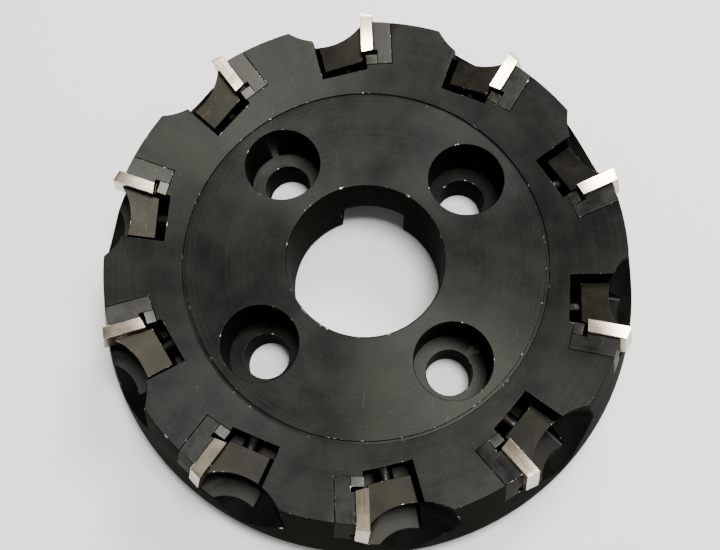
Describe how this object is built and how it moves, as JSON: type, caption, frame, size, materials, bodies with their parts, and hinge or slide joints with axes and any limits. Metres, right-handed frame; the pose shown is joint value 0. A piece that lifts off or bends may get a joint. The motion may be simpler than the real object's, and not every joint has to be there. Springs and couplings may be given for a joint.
{
  "type": "face mill",
  "caption": "Indexable face mill of 75 degree lead: a flared disc body with square inserts on seats and locators, clamped by wedges on double-ended screws, with bolted arbor mounting.",
  "frame": {"origin": "centre of the bore at the back mounting face", "axes": "+Z along the cutter's axis out of the cutting face, drive slot along Y, bolt holes at 45 degrees"},
  "size_m": [0.2138, 0.2138, 0.05],
  "materials": {
    "black_oxide": "satin black oxide",
    "seat_steel": "ground and blackened",
    "locator_steel": "ground and blackened",
    "wedge_steel": "browned oxide",
    "carbide": "ground",
    "screw_steel": "black oxide",
    "pin_steel": "ground"
  },
  "bodies": {
    "cutter": {"cutter_body": "black_oxide", "seat_screws": "screw_steel", "locator_pins": "pin_steel", "seat_1": "seat_steel", "locator_1": "locator_steel", "seat_2": "seat_steel", "locator_2": "locator_steel", "seat_3": "seat_steel", "locator_3": "locator_steel", "seat_4": "seat_steel", "locator_4": "locator_steel", "seat_5": "seat_steel", "locator_5": "locator_steel", "seat_6": "seat_steel", "locator_6": "locator_steel", "seat_7": "seat_steel", "locator_7": "locator_steel", "seat_8": "seat_steel", "locator_8": "locator_steel", "seat_9": "seat_steel", "locator_9": "locator_steel", "seat_10": "seat_steel", "locator_10": "locator_steel"},
    "insert_1": {"insert_1": "carbide"},
    "wedge_1": {"wedge_1": "wedge_steel"},
    "wedge_screw_1": {"wedge_screw_1": "screw_steel"},
    "insert_2": {"insert_2": "carbide"},
    "wedge_2": {"wedge_2": "wedge_steel"},
    "wedge_screw_2": {"wedge_screw_2": "screw_steel"},
    "insert_3": {"insert_3": "carbide"},
    "wedge_3": {"wedge_3": "wedge_steel"},
    "wedge_screw_3": {"wedge_screw_3": "screw_steel"},
    "insert_4": {"insert_4": "carbide"},
    "wedge_4": {"wedge_4": "wedge_steel"},
    "wedge_screw_4": {"wedge_screw_4": "screw_steel"},
    "insert_5": {"insert_5": "carbide"},
    "wedge_5": {"wedge_5": "wedge_steel"},
    "wedge_screw_5": {"wedge_screw_5": "screw_steel"},
    "insert_6": {"insert_6": "carbide"},
    "wedge_6": {"wedge_6": "wedge_steel"},
    "wedge_screw_6": {"wedge_screw_6": "screw_steel"},
    "insert_7": {"insert_7": "carbide"},
    "wedge_7": {"wedge_7": "wedge_steel"},
    "wedge_screw_7": {"wedge_screw_7": "screw_steel"},
    "insert_8": {"insert_8": "carbide"},
    "wedge_8": {"wedge_8": "wedge_steel"},
    "wedge_screw_8": {"wedge_screw_8": "screw_steel"},
    "insert_9": {"insert_9": "carbide"},
    "wedge_9": {"wedge_9": "wedge_steel"},
    "wedge_screw_9": {"wedge_screw_9": "screw_steel"},
    "insert_10": {"insert_10": "carbide"},
    "wedge_10": {"wedge_10": "wedge_steel"},
    "wedge_screw_10": {"wedge_screw_10": "screw_steel"}
  },
  "joints": [
    {"name": "wedge_screw_turn_1", "type": "hinge", "parent": "cutter", "child": "wedge_screw_1", "pos_m": [0.0722, 0.03929, 0.03395], "axis": [0.8031, 0.5955, -0.0181], "range_deg": [0, 540]},
    {"name": "wedge_slide_1", "type": "slide", "parent": "cutter", "child": "wedge_1", "axis": [0.8031, 0.5955, -0.0181], "range_m": [0, 0.003]},
    {"name": "insert_slide_1", "type": "slide", "parent": "cutter", "child": "insert_1", "axis": [-0.2704, -0.0312, 0.9623], "range_m": [0, 0.018]},
    {"name": "wedge_screw_turn_2", "type": "hinge", "parent": "cutter", "child": "wedge_screw_2", "pos_m": [0.03532, 0.07422, 0.03395], "axis": [0.2997, 0.9539, -0.0181], "range_deg": [0, 540]},
    {"name": "wedge_slide_2", "type": "slide", "parent": "cutter", "child": "wedge_2", "axis": [0.2997, 0.9539, -0.0181], "range_m": [0, 0.003]},
    {"name": "insert_slide_2", "type": "slide", "parent": "cutter", "child": "insert_2", "axis": [-0.2004, -0.1842, 0.9623], "range_m": [0, 0.018]},
    {"name": "wedge_screw_turn_3", "type": "hinge", "parent": "cutter", "child": "wedge_screw_3", "pos_m": [-0.01505, 0.08081, 0.03395], "axis": [-0.3182, 0.9479, -0.0181], "range_deg": [0, 540]},
    {"name": "wedge_slide_3", "type": "slide", "parent": "cutter", "child": "wedge_3", "axis": [-0.3182, 0.9479, -0.0181], "range_m": [0, 0.003]},
    {"name": "insert_slide_3", "type": "slide", "parent": "cutter", "child": "insert_3", "axis": [-0.0539, -0.2668, 0.9623], "range_m": [0, 0.018]},
    {"name": "wedge_screw_turn_4", "type": "hinge", "parent": "cutter", "child": "wedge_screw_4", "pos_m": [-0.05968, 0.05653, 0.03395], "axis": [-0.8145, 0.5798, -0.0181], "range_deg": [0, 540]},
    {"name": "wedge_slide_4", "type": "slide", "parent": "cutter", "child": "wedge_4", "axis": [-0.8145, 0.5798, -0.0181], "range_m": [0, 0.003]},
    {"name": "insert_slide_4", "type": "slide", "parent": "cutter", "child": "insert_4", "axis": [0.1132, -0.2475, 0.9623], "range_m": [0, 0.018]},
    {"name": "wedge_screw_turn_5", "type": "hinge", "parent": "cutter", "child": "wedge_screw_5", "pos_m": [-0.0815, 0.01066, 0.03395], "axis": [-0.9998, -0.0097, -0.0181], "range_deg": [0, 540]},
    {"name": "wedge_slide_5", "type": "slide", "parent": "cutter", "child": "wedge_5", "axis": [-0.9998, -0.0097, -0.0181], "range_m": [0, 0.003]},
    {"name": "insert_slide_5", "type": "slide", "parent": "cutter", "child": "insert_5", "axis": [0.2371, -0.1337, 0.9623], "range_m": [0, 0.018]},
    {"name": "wedge_screw_turn_6", "type": "hinge", "parent": "cutter", "child": "wedge_screw_6", "pos_m": [-0.0722, -0.03929, 0.03395], "axis": [-0.8031, -0.5955, -0.0181], "range_deg": [0, 540]},
    {"name": "wedge_slide_6", "type": "slide", "parent": "cutter", "child": "wedge_6", "axis": [-0.8031, -0.5955, -0.0181], "range_m": [0, 0.003]},
    {"name": "insert_slide_6", "type": "slide", "parent": "cutter", "child": "insert_6", "axis": [0.2704, 0.0312, 0.9623], "range_m": [0, 0.018]},
    {"name": "wedge_screw_turn_7", "type": "hinge", "parent": "cutter", "child": "wedge_screw_7", "pos_m": [-0.03532, -0.07422, 0.03395], "axis": [-0.2997, -0.9539, -0.0181], "range_deg": [0, 540]},
    {"name": "wedge_slide_7", "type": "slide", "parent": "cutter", "child": "wedge_7", "axis": [-0.2997, -0.9539, -0.0181], "range_m": [0, 0.003]},
    {"name": "insert_slide_7", "type": "slide", "parent": "cutter", "child": "insert_7", "axis": [0.2004, 0.1842, 0.9623], "range_m": [0, 0.018]},
    {"name": "wedge_screw_turn_8", "type": "hinge", "parent": "cutter", "child": "wedge_screw_8", "pos_m": [0.01505, -0.08081, 0.03395], "axis": [0.3182, -0.9479, -0.0181], "range_deg": [0, 540]},
    {"name": "wedge_slide_8", "type": "slide", "parent": "cutter", "child": "wedge_8", "axis": [0.3182, -0.9479, -0.0181], "range_m": [0, 0.003]},
    {"name": "insert_slide_8", "type": "slide", "parent": "cutter", "child": "insert_8", "axis": [0.0539, 0.2668, 0.9623], "range_m": [0, 0.018]},
    {"name": "wedge_screw_turn_9", "type": "hinge", "parent": "cutter", "child": "wedge_screw_9", "pos_m": [0.05968, -0.05653, 0.03395], "axis": [0.8145, -0.5798, -0.0181], "range_deg": [0, 540]},
    {"name": "wedge_slide_9", "type": "slide", "parent": "cutter", "child": "wedge_9", "axis": [0.8145, -0.5798, -0.0181], "range_m": [0, 0.003]},
    {"name": "insert_slide_9", "type": "slide", "parent": "cutter", "child": "insert_9", "axis": [-0.1132, 0.2475, 0.9623], "range_m": [0, 0.018]},
    {"name": "wedge_screw_turn_10", "type": "hinge", "parent": "cutter", "child": "wedge_screw_10", "pos_m": [0.0815, -0.01066, 0.03395], "axis": [0.9998, 0.0097, -0.0181], "range_deg": [0, 540]},
    {"name": "wedge_slide_10", "type": "slide", "parent": "cutter", "child": "wedge_10", "axis": [0.9998, 0.0097, -0.0181], "range_m": [0, 0.003]},
    {"name": "insert_slide_10", "type": "slide", "parent": "cutter", "child": "insert_10", "axis": [-0.2371, 0.1337, 0.9623], "range_m": [0, 0.018]}
  ],
  "couplings": [
    {"joint": "wedge_screw_turn_1", "follows": "wedge_slide_1", "rad_per_m": 3141.5},
    {"joint": "wedge_screw_turn_2", "follows": "wedge_slide_2", "rad_per_m": 3141.5},
    {"joint": "wedge_screw_turn_3", "follows": "wedge_slide_3", "rad_per_m": 3141.5},
    {"joint": "wedge_screw_turn_4", "follows": "wedge_slide_4", "rad_per_m": 3141.5},
    {"joint": "wedge_screw_turn_5", "follows": "wedge_slide_5", "rad_per_m": 3141.5},
    {"joint": "wedge_screw_turn_6", "follows": "wedge_slide_6", "rad_per_m": 3141.5},
    {"joint": "wedge_screw_turn_7", "follows": "wedge_slide_7", "rad_per_m": 3141.5},
    {"joint": "wedge_screw_turn_8", "follows": "wedge_slide_8", "rad_per_m": 3141.5},
    {"joint": "wedge_screw_turn_9", "follows": "wedge_slide_9", "rad_per_m": 3141.5},
    {"joint": "wedge_screw_turn_10", "follows": "wedge_slide_10", "rad_per_m": 3141.5}
  ]
}
